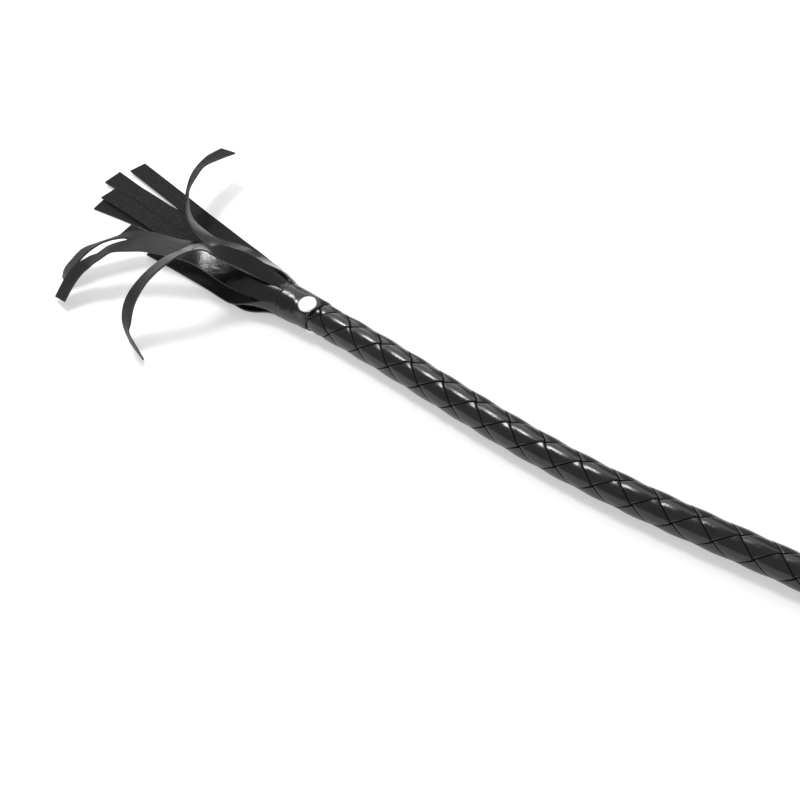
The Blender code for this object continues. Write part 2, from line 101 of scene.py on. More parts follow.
TUCK_TIP = (-1.0, 7.0)      # stations over which the tuck comes and goes
TUCK_BUTT = (400.0, 408.0)
# Where a strand has its rings within a cell: close together on the climbs
CELL_STEPS = (0.0, 0.012, 0.023, 0.034, 0.045, 0.1, 0.2, 0.35, 0.5, 0.65, 0.8, 0.9,
              0.955, 0.966, 0.977, 0.988)

# Keeper
SHEET = 0.8
SOFTENED_CUT = 0.12         # rounding of the sheet's cut edges
SOFTENED_COLLAR = 0.15
COLLAR_MOUTH = -14.0
MOUTH = -18.0
COLLAR_END = 4.1
COLLAR_SLANT = 2.5          # how far the end over the braid slants, and towards where
COLLAR_SLANT_ANGLE = 40.0
COLLAR_DIP = (0.9, 142.0, 18.0)     # depth, angle and reach of the dip in that end
COLLAR_RADIUS_END = 8.35
COLLAR_RADIUS_MOUTH = 9.3
LAP_ANGLE = 165.0
COLLAR_TURN = 395.0
COLLAR_PITCH = 0.95
COLLAR_SWELL = 0.22         # unevenness of the rolled sheet
COLLAR_ROLLED_EDGE = (0.35, 1.2)    # how far its end turns in, over what length
COLLAR_LAP_RIPPLE = (0.16, 1.1, 18.0)   # height, pitch and reach along the lap
PRESSED_HEIGHT = 7.75       # of the sheet under the rivet
PRESSED_REACH = 6.0
PRESSED_FROM = (3.0, 6.0)   # heights between which the pressing sets in
LINER_RADIUS = 6.95
LINER_START = -9.0
FAN_END = -92.0
FAN_FLAT_AT = 52.0
FAN_WIDTH = 28.0
FAN_RIPPLE = 0.25

FALL_WIDTH = 9.2
FAN_FALL_WIDTH = 9.0
MOUTH_BULGE = {"fall_curl_far": 1.2}
LYING_HEIGHT = -9.27        # lowest a strap may reach, just over the surface it lies on
FLATTEN_REACH = 17.0        # distance over which a fall loses the keeper's curve
WIDEN_REACH = 14.0          # distance over which it takes its full width
ROOT_RADIUS = 8.5
FLATTEST_CURL = 0.012
TURNED_AT = 33.0            # distance past the rivet where a fall faces its own way
ROOT_GAP = 0.03             # keeps a fall clear of the sheet it grows from

# Falls cut round the keeper's mouth: the angle each faces once clear of the mouth,
# the slits it lies between, its depth under the outer turn, and its centreline as
# station, y, z and twist
RING_FALLS = {
    "fall_curl_near": (86, (61.3, 109.2), 0.0, (
        (-33, -4, 15, -10), (-42, -11, 21, 0),
        (-49, -17, 25, 30), (-52, -26, 27, 50), (-56, -35, 25, 45),
        (-60, -44, 19, 40), (-62, -52, 11, 30), (-61, -57, 3, 30),
        (-57, -60.3, -2.5, 50), (-46, -64.9, -4.6, 60))),
    "fall_curl_front": (133, (109.8, 164.5), 0.0, (
        (-38, -9, 7, 20), (-59, -9, 9, 30),
        (-69, -13, 10.5, 45), (-81, -19, 11.5, 50), (-87, -24, 11.5, 60),
        (-94, -30, 10, 73), (-97, -36, 7.5, 76), (-100, -40, 5, 66),
        (-102, -45, 2.5, 61), (-103, -50.5, -1.8, 60), (-103, -57, -7.3, 61))),
    "fall_curl_back": (125, (100, 150), 1.6, (
        (-42, -4, 4.5, 20), (-65, -2, 5, 30),
        (-77, -6, 5.5, 40), (-89, -10, 6.5, 45), (-96, -15, 7.5, 55),
        (-100, -21, 8, 73), (-104, -28, 7.5, 76), (-107, -35, 6, 66),
        (-108, -41, 3.5, 66), (-109, -46, 0, 66), (-109, -49, -3, 76))),
    "fall_curl_far": (36, (5.8, 60.7), 0.0, (
        (-26, 9.3, 6.2, -10), (-47, 8, 7, -45), (-64, 5, 7, -40),
        (-79, 9, 8.5, -10), (-87, 15, 10.5, 25), (-91, 19, 12, 36),
        (-95, 26, 12.5, 52), (-100, 37, 12, 70), (-102, 49.5, 10.3, 96),
        (-102, 60.5, 8, 106))),
    "fall_flat_4": (-78, (-103.7, -51.8), 0.0, (
        (-27, 3, -8.6, 10), (-40, 5, -8.8, 12),
        (-70, 9.6, -8.8, 12), (-100, 11, -8.8, 12), (-120, 9.5, -8.8, 12),
        (-138.5, 7.3, -8.8, 12))),
    "fall_flat_5": (-130, (-154.7, -104.3), 0.0, (
        (-27, -5.6, -7.6, -32), (-40, -4.7, -8.6, -40),
        (-70, -0.3, -8.8, -40), (-95, 1.2, -8.8, -40), (-115, 0, -8.8, -40))),
    "fall_flat_6": (-180, (-203, -155.3), 0.0, (
        (-27, -9, -3.5, -45), (-40, -6.5, -7.2, -85),
        (-56, -4.9, -7.4, -90), (-75, -4, -7.4, -90), (-94, -3.6, -7.4, -90))),
    "fall_flat_7": (-25, (-51.2, 5.2), 0.0, (
        (-24, 10.3, -5.6, 35), (-28, 12.2, -6.9, 50), (-34, 14.6, -8.2, 60),
        (-40, 16.2, -8.7, 65), (-70, 19.9, -8.8, 65), (-100, 21.2, -8.8, 65),
        (-120, 22, -8.8, 65), (-147, 26, -8.8, 65))),
}
# The two curls that cross are set apart along one direction, by an amount that is
# full from their fourth point on, so that each can swing clear of the other
SPREAD_DIRECTION = (0.46, -0.59, 0.67)
SPREAD = {"fall_curl_front": 2.0, "fall_curl_back": -5.0}
FAN_FALLS = {
    "fall_flat_1": ((-92.0, 28.1, -7.4), (-117, 33.3, -7.4), (-142, 38.4, -7.6)),
    "fall_flat_2": ((-92.0, 18.9, -7.4), (-118, 22.1, -7.4), (-146, 24.4, -7.6)),
    "fall_flat_3": ((-92.0, 9.7, -7.4), (-118, 12.7, -7.4), (-139.5, 14.6, -7.6)),
}
FAN_FAR_EDGE = ((-18, 6.95, 0.0), (-21, 9.3, 0.6), (-25, 12.6, 1.6), (-32, 14.7, 1.6),
                (-45, 21.0, -4.0), (-60, 26.0, -7.0), (-92, 32.4, -7.4))
FAN_NEAR_EDGE = ((-18, -6.95, 0.0), (-24, -6, -4.0), (-32, -2.5, -6.5), (-45, 0.2, -7.4),
                 (-60, 0.9, -7.4), (-92, 5.3, -7.4))

# Butt and lathe work
CAP_ROUNDING = 2.4
LATHE_STEPS = 96

# A turn sharper than this, in degrees, is a hard edge
HARD_TURN_LATHE = 38.0
HARD_TURN_BEVEL = 50.0
HARD_TURN_STRAND = 55.0

WAVE_PERIOD = 0.314         # of a wave texture at scale 1


# Numbers and curves

def smoothstep(value, low, high):
    t = min(max((value - low) / (high - low), 0.0), 1.0)
    return t * t * (3.0 - 2.0 * t)


def station_to_x(station):
    return station - RIVET_TO_BUTT


def shaft_point(station, radius, degrees):
    """Point at a radius and an angle from +Y towards +Z, on the bent shaft."""
    turn = 2.0 * math.pi / BEND_LENGTH
    along = min(max(station - BEND_START, 0.0), BEND_LENGTH)
    shift = -BEND_DEPTH * (1.0 - math.cos(turn * along))
    lean = math.atan(-BEND_DEPTH * turn * math.sin(turn * along))
    angle = math.radians(degrees)
    across = radius * math.cos(angle)
    x = station_to_x(station) - across * math.sin(lean)
    return Vector((x, shift + across * math.cos(lean), radius * math.sin(angle)))


def spline_points(points, steps):
    """Catmull-Rom curve through rows of numbers."""
    rows = [Vector(p) for p in points]
    rows = [2.0 * rows[0] - rows[1]] + rows + [2.0 * rows[-1] - rows[-2]]
    curve = []
    for i in range(1, len(rows) - 2):
        p0, p1, p2, p3 = rows[i - 1:i + 3]
        for k in range(steps):
            t = k / steps
            curve.append(0.5 * (2.0 * p1 + (p2 - p0) * t
                                + (2.0 * p0 - 5.0 * p1 + 4.0 * p2 - p3) * t * t
                                + (3.0 * p1 - p0 - 3.0 * p2 + p3) * t ** 3))
    curve.append(rows[-2])
    return curve


def carried_sides(path, side):
    """Side direction carried along a path without twisting."""
    last = len(path) - 1
    tangents = [(path[min(i + 1, last)] - path[max(i - 1, 0)]).normalized()
                for i in range(len(path))]
    side = (side - side.dot(tangents[0]) * tangents[0]).normalized()
    sides = [side]
    for before, after in zip(tangents[:-1], tangents[1:]):
        side = before.rotation_difference(after) @ side
        side = (side - side.dot(after) * after).normalized()
        sides.append(side)
    return tangents, sides


# Materials

class Nodes:
    """Short way to build a node material."""

    def __init__(self, name):
        self.material = bpy.data.materials.new(name)
        self.material.use_nodes = True
        self.tree = self.material.node_tree
        self.shader = self.tree.nodes["Principled BSDF"]

    def add(self, kind, **settings):
        node = self.tree.nodes.new(kind)
        for key, value in settings.items():
            setattr(node, key, value)
        return node

    def link(self, source, target):
        self.tree.links.new(source, target)

    def millimetres(self, kind="UV", stretch=(1.0, 1.0, 1.0)):
        coordinate = self.add("ShaderNodeTexCoord")
        mapping = self.add("ShaderNodeMapping")
        mapping.inputs["Scale"].default_value = [1000.0 * s for s in stretch]
        self.link(coordinate.outputs[kind], mapping.inputs["Vector"])
        return mapping.outputs["Vector"]

    def noise(self, vector, scale, detail=3.0, roughness=0.55, distortion=0.0):
        node = self.add("ShaderNodeTexNoise")
        node.inputs["Scale"].default_value = scale
        node.inputs["Detail"].default_value = detail
        node.inputs["Roughness"].default_value = roughness
        node.inputs["Distortion"].default_value = distortion
        self.link(vector, node.inputs["Vector"])
        return node.outputs["Fac"]

    def wave(self, vector, period, direction="X", distortion=0.0, detail_scale=1.0):
        node = self.add("ShaderNodeTexWave", bands_direction=direction)
        node.inputs["Scale"].default_value = WAVE_PERIOD / period
        node.inputs["Distortion"].default_value = distortion
        node.inputs["Detail"].default_value = 1.0
        node.inputs["Detail Scale"].default_value = detail_scale
        self.link(vector, node.inputs["Vector"])
        return node.outputs["Fac"]

    def remap(self, value, low, high, to_low, to_high):
        node = self.add("ShaderNodeMapRange")
        node.inputs["From Min"].default_value = low
        node.inputs["From Max"].default_value = high
        node.inputs["To Min"].default_value = to_low
        node.inputs["To Max"].default_value = to_high
        self.link(value, node.inputs["Value"])
        return node.outputs["Result"]

    def maths(self, operation, first, second):
        node = self.add("ShaderNodeMath", operation=operation)
        for socket, value in zip(node.inputs, (first, second)):
            if isinstance(value, float):
                socket.default_value = value
            else:
                self.link(value, socket)
        return node.outputs["Value"]

    def ramp(self, value, dark, light, low=0.0, high=1.0):
        node = self.add("ShaderNodeValToRGB")
        stops = node.color_ramp.elements
        stops[0].position, stops[0].color = low, (*dark, 1.0)
        stops[1].position, stops[1].color = high, (*light, 1.0)
        self.link(value, node.inputs["Fac"])
        return node.outputs["Color"]

    def bump(self, height, depth):
        """Relief of a depth in millimetres."""
        node = self.add("ShaderNodeBump")
        node.inputs["Distance"].default_value = depth * MM
        node.inputs["Strength"].default_value = 1.0
        self.link(height, node.inputs["Height"])
        self.link(node.outputs["Normal"], self.shader.inputs["Normal"])

    def set(self, **values):
        for name, value in values.items():
            self.shader.inputs[name.replace("_", " ")].default_value = value


def patent_material(name, colour, gloss, creases, wear=0.0):
    """Lacquered sheet: soft creases, a fine orange peel and a few dull rubs.
    Wear dulls it with distance from the keeper."""
    m = Nodes(name)
    uv = m.millimetres()
    broad = m.noise(uv, 0.09, 3.0, 0.5, 0.6)
    peel = m.noise(uv, 1.3, 2.0)
    m.link(m.ramp(broad, [c * 0.75 for c in colour], [c * 1.35 for c in colour], 0.3, 0.7),
           m.shader.inputs["Base Color"])
    split = m.add("ShaderNodeSeparateXYZ")
    m.link(uv, split.inputs["Vector"])
    worn = m.remap(split.outputs["X"], 45.0, 85.0, 0.0, 1.0)
    rubs = m.remap(m.noise(uv, 0.35, 4.0, 0.65), 0.35, 0.75, gloss, gloss + 0.10)
    m.link(m.maths("ADD", rubs, m.maths("MULTIPLY", worn, wear)), m.shader.inputs["Roughness"])
    m.link(m.remap(worn, 0.0, 1.0, 0.55, 0.55 - wear), m.shader.inputs["Specular IOR Level"])
    m.bump(m.maths("ADD", m.maths("MULTIPLY", broad, creases), m.maths("MULTIPLY", peel, 0.02)),
           1.0)
    return m.material


def woven_material(name):
    """Cloth back of the sheet: fine ribs across it, broken by the weave."""
    m = Nodes(name)
    uv = m.millimetres()
    ribs = m.wave(uv, 0.85, "X", 1.2, 1.5)
    threads = m.wave(uv, 0.55, "Y", 1.5, 1.5)
    broken = m.noise(m.millimetres(stretch=(1.0, 0.45, 1.0)), 1.6, 3.0, 0.7)
    weave = m.maths("MULTIPLY", ribs, m.remap(threads, 0.0, 1.0, 0.55, 1.0))
    height = m.maths("MULTIPLY", weave, m.remap(broken, 0.3, 0.7, 0.35, 1.0))
    # Colour follows the weave's height: the cloth's dark slate, darkened to near black in the
    # hollows as painted shade and lightened on the rib tops as painted glints.
    m.link(m.ramp(height, (0.004, 0.004, 0.005), (0.110, 0.113, 0.122), 0.35, 0.95),
           m.shader.inputs["Base Color"])
    m.link(m.remap(height, 0.0, 1.0, 0.75, 0.50), m.shader.inputs["Roughness"])
    m.bump(height, 0.16)
    m.set(Specular_IOR_Level=0.25)
    return m.material


def cut_edge_material(name):
    """Knife-cut edge: greyer than the faces, with the layers of the sheet."""
    m = Nodes(name)
    uv = m.millimetres("Object")
    grain = m.noise(uv, 2.0, 3.0)
    m.link(m.ramp(grain, (0.020, 0.020, 0.021), (0.075, 0.074, 0.072), 0.3, 0.75),
           m.shader.inputs["Base Color"])
    m.bump(grain, 0.05)
    m.set(Roughness=0.55)
    return m.material


def metal_material(name, colour, low, high):
    """Polished plating with faint handling marks."""
    m = Nodes(name)
    at = m.millimetres("Object")
    marks = m.noise(at, 0.9, 5.0, 0.7)
    m.link(m.ramp(marks, [c * 0.93 for c in colour], colour, 0.3, 0.7),
           m.shader.inputs["Base Color"])
    m.link(m.remap(marks, 0.3, 0.8, low, high), m.shader.inputs["Roughness"])
    m.bump(m.noise(at, 6.0, 2.0), 0.01)
    m.set(Metallic=1.0)
    return m.material


def plain_material(name, dark, light, scale, roughness, depth):
    """Matt moulded or spun stuff with a grain."""
    m = Nodes(name)
    at = m.millimetres("Object")
    grain = m.noise(at, scale, 4.0)
    m.link(m.ramp(grain, dark, light, 0.3, 0.7), m.shader.inputs["Base Color"])
    m.link(m.remap(grain, 0.2, 0.8, roughness, roughness + 0.12), m.shader.inputs["Roughness"])
    m.bump(grain, depth)
    return m.material


def thread_material(name):
    m = Nodes(name)
    at = m.millimetres("Object")
    turns = m.wave(at, 0.5, "X")
    m.link(m.ramp(turns, (0.006, 0.006, 0.006), (0.03, 0.03, 0.03)),
           m.shader.inputs["Base Color"])
    m.bump(turns, 0.12)
    m.set(Roughness=0.7)
    return m.material


PATENT = patent_material("patent_face", (0.011, 0.011, 0.013), 0.13, 0.22, 0.35)
COLLAR = patent_material("patent_collar", (0.011, 0.011, 0.013), 0.15, 0.30)
BRAID = patent_material("braid_strand", (0.013, 0.013, 0.015), 0.16, 0.16)
WOVEN = woven_material("woven_back")
CUT_EDGE = cut_edge_material("cut_edge")
NICKEL = metal_material("nickel", (0.74, 0.74, 0.72), 0.14, 0.30)
PLASTIC = plain_material("cap_plastic", (0.010, 0.010, 0.011), (0.017, 0.017, 0.018),
                         3.0, 0.32, 0.02)
PLUG = plain_material("plug_plastic", (0.030, 0.024, 0.020), (0.055, 0.045, 0.040),
                      1.5, 0.6, 0.05)
FILLER = plain_material("filler_foam", (0.06, 0.06, 0.06), (0.13, 0.13, 0.13), 4.0, 0.75, 0.1)
FIBRE = plain_material("fibre_rod", (0.45, 0.46, 0.40), (0.62, 0.63, 0.56), 2.0, 0.4, 0.02)
THREAD = thread_material("binding_thread")


# Meshes

def finish_piece(obj, materials, body, nodes):
    for material in materials:
        obj.data.materials.append(material)
    bpy.context.scene.collection.objects.link(obj)
    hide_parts(*nodes)
    if body:
        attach(obj, body)
    return obj


def sheet_object(name, outer, inner, lengths, widths):
    """Closed sheet between two grids of points in millimetres. Faces on the
    outer grid take material 0, the inner 1 and the cut edges 2."""
    rows, cols = len(outer), len(outer[0])
    points = [p * MM for row in outer for p in row] + [p * MM for row in inner for p in row]
    offset = rows * cols
    faces, kinds, corners = [], [], []

    def at(r, c, side):
        return r * cols + c + side * offset

    def add(cells, kind):
        faces.append([at(r, c, side) for r, c, side in cells])
        kinds.append(kind)
        corners.extend((lengths[r] * MM, widths[r][c] * MM + side * 0.02 * MM)
                       for r, c, side in cells)

    for r in range(rows - 1):
        for c in range(cols - 1):
            add(((r, c, 0), (r + 1, c, 0), (r + 1, c + 1, 0), (r, c + 1, 0)), 0)
            add(((r, c + 1, 1), (r + 1, c + 1, 1), (r + 1, c, 1), (r, c, 1)), 1)
        add(((r, 0, 1), (r + 1, 0, 1), (r + 1, 0, 0), (r, 0, 0)), 2)
        end = cols - 1
        add(((r, end, 0), (r + 1, end, 0), (r + 1, end, 1), (r, end, 1)), 2)
    for c in range(cols - 1):
        add(((0, c, 0), (0, c + 1, 0), (0, c + 1, 1), (0, c, 1)), 2)
        last = rows - 1
        add(((last, c, 1), (last, c + 1, 1), (last, c + 1, 0), (last, c, 0)), 2)

    mesh = bpy.data.meshes.new(name)
    mesh.from_pydata(points, [], faces)
    mesh.polygons.foreach_set("material_index", kinds)
    mesh.polygons.foreach_set("use_smooth", [True] * len(faces))
    uv = mesh.uv_layers.new(name="UVMap")
    uv.data.foreach_set("uv", [v for corner in corners for v in corner])
    sharpen(mesh)
    return bpy.data.objects.new(name, mesh)


def sharpen(mesh):
    """Sharp edges where two kinds of face meet."""
    bm = bmesh.new()
    bm.from_mesh(mesh)
    if bm.calc_volume(signed=True) < 0.0:
        bmesh.ops.reverse_faces(bm, faces=bm.faces)
    for edge in bm.edges:
        if len(edge.link_faces) == 2:
            one, two = edge.link_faces
            edge.smooth = one.material_index == two.material_index
    bm.to_mesh(mesh)
    bm.free()


def lathe_object(name, profile):
    """Closed solid turned round X from (x, radius) in millimetres."""
    steps = LATHE_STEPS
    points, faces = [], []
    for x, radius in profile:
        for k in range(steps):
            angle = 2.0 * math.pi * k / steps
            points.append(Vector((x, radius * math.cos(angle), radius * math.sin(angle))) * MM)
    rings = len(profile)
    for i in range(rings):
        j = (i + 1) % rings
        for k in range(steps):
            m = (k + 1) % steps
            faces.append((i * steps + k, i * steps + m, j * steps + m, j * steps + k))
    mesh = bpy.data.meshes.new(name)
    mesh.from_pydata(points, [], faces)
    close_mesh(mesh, HARD_TURN_LATHE, merge=True)
    return bpy.data.objects.new(name, mesh)


def close_mesh(mesh, hard_turn, merge=False):
    """Turn faces out, smooth them and mark hard turns. Merging joins the points
    that a lathe leaves on its axis."""
    bm = bmesh.new()
    bm.from_mesh(mesh)
    if merge:
        bmesh.ops.remove_doubles(bm, verts=bm.verts, dist=1e-6)
        bmesh.ops.dissolve_degenerate(bm, edges=bm.edges, dist=1e-7)
    bmesh.ops.recalc_face_normals(bm, faces=bm.faces)
    for face in bm.faces:
        face.smooth = True
    for edge in bm.edges:
        if len(edge.link_faces) == 2 and edge.calc_face_angle() > math.radians(hard_turn):
            edge.smooth = False
    bm.to_mesh(mesh)
    bm.free()


def soften_edges(obj, width):
    bevel = obj.modifiers.new("Soft edges", "BEVEL")
    bevel.width = width * MM
    bevel.segments = 2
    bevel.limit_method = "ANGLE"
    bevel.angle_limit = math.radians(HARD_TURN_BEVEL)
    bevel.harden_normals = True


# Braid

def braid_station(cells):
    """Station of a place along the braid, whose first cells are pulled tight."""
    lag = TIGHT_LAG * (1.0 - math.exp(-max(cells, 0.0) / TIGHT_REACH))
    if cells < 0.0:
        lag = TIGHT_LAG / TIGHT_REACH * cells
    return BRAID_ORIGIN + CELL_LENGTH * (cells - lag)


def pillow(part):
    """Rise across a strand: nothing at its edges, full in its middle."""
    return 1.0 - abs(2.0 * part - 1.0) ** PILLOW_POWER


def strand_ring(place, index, hand):
    """Section of a strand: it lies flat under one strand, then steps up over the next."""
    cell = math.floor(place)
    along = place - cell
    over = 1.0 if (cell % 2 == 0) == (hand > 0) else 0.0
    over *= smoothstep(min(along, 1.0 - along), 0.0, BRAID_CLIMB)
    ring, widths = [], []
    top = [STRAND_EDGE + (1.0 - 2.0 * STRAND_EDGE) * k / 8.0 for k in range(9)]
    for parts, under in ((top, False), (STRAND_UNDERSIDE, True)):
        for part in parts:
            cells = place + part
            turn = (place - 2.0 * index - part) * hand
            station = braid_station(cells)
            tuck = BRAID_TUCK * (1.0 - smoothstep(station, *TUCK_TIP)
                                 + smoothstep(station, *TUCK_BUTT))
            radius = BRAID_UNDER + BRAID_STEP * over - tuck
            if under:
                radius -= BRAID_THICKNESS
            else:
                radius += BRAID_PILLOW * over * pillow(along) * pillow(part)
            twist = START_TWIST * math.exp(-max(cells, 0.0) / START_TWIST_REACH)
            angle = BRAID_PHASE + CELL_ANGLE * turn + twist
            ring.append(shaft_point(station, radius, angle))
            widths.append(part * STRAND_WIDTH)
    return ring, widths


def build_strand(name, index, hand):
    first, last = STRAND_CELLS
    steps = CELL_STEPS
    places = [cell + step for cell in range(math.floor(first), math.ceil(last)) for step in steps]
    places = [place for place in places if first <= place <= last]
    count = len(places) - 1
    rings, lengths = [], []
    for place in places:
        ring, widths = strand_ring(place, index, hand)
        rings.append(ring)
        lengths.append((place - first) * STRAND_LENGTH_PER_CELL)
    size = len(rings[0])
    points = [p * MM for ring in rings for p in ring]
    faces, corners = [], []
    for i in range(count):
        for k in range(size):
            m = (k + 1) % size
            faces.append((i * size + k, i * size + m, (i + 1) * size + m, (i + 1) * size + k))
            wide = widths[m] if m else widths[k] + 0.3
            corners += [(lengths[i] * MM, widths[k] * MM), (lengths[i] * MM, wide * MM),
                        (lengths[i + 1] * MM, wide * MM), (lengths[i + 1] * MM, widths[k] * MM)]
    for base in (0, count * size):
        faces.append([base + k for k in range(size)])
        corners += [(0.0, 0.0)] * size
    mesh = bpy.data.meshes.new(name)
    mesh.from_pydata(points, [], faces)
    uv = mesh.uv_layers.new(name="UVMap")
    uv.data.foreach_set("uv", [v for corner in corners for v in corner])
    close_mesh(mesh, HARD_TURN_STRAND)
    obj = bpy.data.objects.new(name, mesh)
    cad = f"strand_{'left' if hand > 0 else 'right'}_{index + 1}"
    finish_piece(obj, [BRAID], "crop", [cad])


# Keeper

def collar_radius(station, degrees):
    """Outer radius of the rolled sheet. Angles run down from its outer edge."""
    share = (station - COLLAR_END) / (MOUTH - COLLAR_END)
    radius = COLLAR_RADIUS_END + (COLLAR_RADIUS_MOUTH - COLLAR_RADIUS_END) * share
    return radius - COLLAR_PITCH * (LAP_ANGLE - degrees) / 360.0


def press_under_rivet(point):
    """The rivet pulls the sheet flat round itself."""
    lean = math.radians(RIVET_LEAN)
    up = Vector((0.0, -math.sin(lean), math.cos(lean)))
    base = point - Vector((station_to_x(0.0), RIVET_SIDE, 0.0))
    height = base.dot(up)
    away = (base - up * height).length
    pull = math.exp(-(away / PRESSED_REACH) ** 4) * smoothstep(height, *PRESSED_FROM)
    return point - up * (height - PRESSED_HEIGHT) * pull


def collar_edge(degrees):
    """Station of the collar's slanted end, which dips once."""
    slant = math.cos(math.radians(degrees - COLLAR_SLANT_ANGLE))
    depth, place, reach = COLLAR_DIP
    dip = depth * math.exp(-((degrees - place) / reach) ** 2)
    return COLLAR_END + COLLAR_SLANT * slant - dip


def collar_swell(station, sweep, edge):
    """Relief of the rolled sheet: uneven, turned in at its end, rippled along the lap."""
    turned_in, turn_length = COLLAR_ROLLED_EDGE
    ripple, pitch, reach = COLLAR_LAP_RIPPLE
    swell = COLLAR_SWELL * noise.noise(Vector((station * 0.16, sweep * 0.02, 3.0)))
    swell *= smoothstep(station, COLLAR_MOUTH, COLLAR_MOUTH + 3.0)
    swell -= turned_in * smoothstep(station, edge - turn_length, edge)
    swell += ripple * math.sin(pitch * station) * math.exp(-(sweep / reach) ** 2)
    return swell


def build_collar():
    """Sheet rolled a little over one turn, its slanted end over the braid."""
    rows, cols = 22, 132
    grids = ([], [])
    lengths, widths = [], []
    for i in range(rows + 1):
        row = ([], [])
        wide = []
        for k in range(cols + 1):
            sweep = COLLAR_TURN * k / cols
            angle = LAP_ANGLE - sweep
            edge = collar_edge(angle)
            station = COLLAR_MOUTH + (edge - COLLAR_MOUTH) * i / rows
            radius = collar_radius(station, angle)
            swollen = radius + collar_swell(station, sweep, edge)
            for side in (0, 1):
                point = shaft_point(station, swollen - side * SHEET, angle)
                pressed = press_under_rivet(point + Vector((0, 0, side * SHEET)))
                row[side].append(pressed - Vector((0, 0, side * SHEET)))
            wide.append(radius * math.radians(sweep))
        for side in (0, 1):
            grids[side].append(row[side])
        lengths.append(22.0 * i / rows)
        widths.append(wide)
    obj = sheet_object("collar", grids[0], grids[1], lengths, widths)
    finish_piece(obj, [COLLAR, WOVEN, CUT_EDGE], "crop", ["keeper_wrap"])
    soften_edges(obj, SOFTENED_COLLAR)


def edge_curve(edge):
    """Fan edge, as a function that gives y and z at a station."""
    curve = spline_points(edge, 12)

    def at(station):
        for one, two in zip(curve[:-1], curve[1:]):
            if two[0] <= station <= one[0]:
                t = (station - one[0]) / (two[0] - one[0])
                return one[1] + (two[1] - one[1]) * t, one[2] + (two[2] - one[2]) * t
        return curve[-1][1], curve[-1][2]

    return at


def build_fan():
    """Inner turn of the sheet, opening from a half tube into a flat fan."""
    across = 28
    far_edge, near_edge = edge_curve(FAN_FAR_EDGE), edge_curve(FAN_NEAR_EDGE)
    stations = [LINER_START - 1.0 * i for i in range(64)]
    stations += [LINER_START - 63.0 - 2.0 * i for i in range(1, 11)] + [FAN_END + ROOT_GAP]
    grids = ([], [])
    lengths, widths = [], []
    for station in stations:
        far = far_edge(min(station, MOUTH))
        near = near_edge(min(station, MOUTH))
        flat = smoothstep(-station, -MOUTH, FAN_FLAT_AT)
        middle, half = (far[0] + near[0]) / 2.0, (far[0] - near[0]) / 2.0
        row = ([], [])
        wide = []
        for k in range(across + 1):
            share = k / across
            arc_y = math.cos(-math.pi * share)
            arc_z = math.sin(-math.pi * share)
            base = far[1] + (near[1] - far[1]) * share
            y = middle + half * (arc_y * (1.0 - flat) + (1.0 - 2.0 * share) * flat)
            z = base + (LINER_RADIUS + base) * arc_z * (1.0 - flat)
            z += FAN_RIPPLE * flat * noise.noise(Vector((station * 0.05, y * 0.12, 7.0)))
            normal = Vector((0.0, -arc_y * (1.0 - flat), -arc_z * (1.0 - flat) + flat))
            normal.normalize()
            point = Vector((station_to_x(station), y, z))
            row[0].append(point)
            row[1].append(point + normal * SHEET)
            wide.append(FAN_WIDTH * share)
        for side in (0, 1):
            grids[side].append(row[side])
        lengths.append(-station)
        widths.append(wide)
    obj = sheet_object("fan", grids[0], grids[1], lengths, widths)
    finish_piece(obj, [PATENT, WOVEN, CUT_EDGE], "crop", ["keeper_liner"])
    soften_edges(obj, SOFTENED_CUT)


def build_strip(name, curve, start_side, root_radius, root_half, width):
    """Strap along a centreline. It leaves the keeper with the keeper's curve
    across it and flattens on its way. Without a root radius it is flat throughout."""
    across = 8
    path = [Vector((station_to_x(p[0]), p[1], p[2])) for p in curve]
    tangents, sides = carried_sides(path, start_side)
    grids = ([], [])
    lengths, widths = [], []
    travelled = 0.0
    for i, point in enumerate(path):
        if i:
            travelled += (point - path[i - 1]).length
        beyond = max(travelled - (COLLAR_MOUTH - MOUTH), 0.0)
        flat = smoothstep(beyond, 0.0, FLATTEN_REACH) if root_radius else 1.0
        curl = max(1.0 - flat, FLATTEST_CURL)
        half = root_half + (width / 2.0 - root_half) * smoothstep(beyond, 0.0, WIDEN_REACH)
        side = Matrix.Rotation(math.radians(curve[i][3]), 3, tangents[i]) @ sides[i]
        outward = tangents[i].cross(side).normalized()
        radius = (root_radius or ROOT_RADIUS) / curl
        row = ([], [])
        wide = []
        for k in range(across + 1):
            part = 2.0 * k / across - 1.0
            angle = part * half / radius
            swept = math.degrees(part * half / ROOT_RADIUS)
            spiral = COLLAR_PITCH * swept / 360.0 * (1.0 - flat)
            across_at = radius * math.sin(angle)
            depth = radius * (1.0 - math.cos(angle)) - spiral
            normal = (outward * math.cos(angle) + side * math.sin(angle)).normalized()
            at = point + side * across_at - outward * depth
            row[0].append(at + normal * SHEET / 2.0)
            row[1].append(at - normal * SHEET / 2.0)
            wide.append((part + 1.0) * width / 2.0)
        lift = max(LYING_HEIGHT - min(p.z for p in row[0] + row[1]), 0.0)
        for which in (0, 1):
            grids[which].append([p + Vector((0.0, 0.0, lift)) for p in row[which]])
        lengths.append(travelled)
        widths.append(wide)
    obj = sheet_object(name + "_strap", grids[0], grids[1], lengths, widths)
    finish_piece(obj, [PATENT, WOVEN, CUT_EDGE], None, [name])
    soften_edges(obj, SOFTENED_CUT)
    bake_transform(obj)


def spread_points(name, points):
    """Centreline with its share of the spread, which grows over its first four points."""
    amount = SPREAD.get(name, 0.0)
    moved = []
    for i, (station, y, z, twist) in enumerate(points):
        step = amount * min((1 + i) / 4.0, 1.0)
        along, across, up = (step * part for part in SPREAD_DIRECTION)
        moved.append((station + along, y + across, z + up, twist))
    return moved


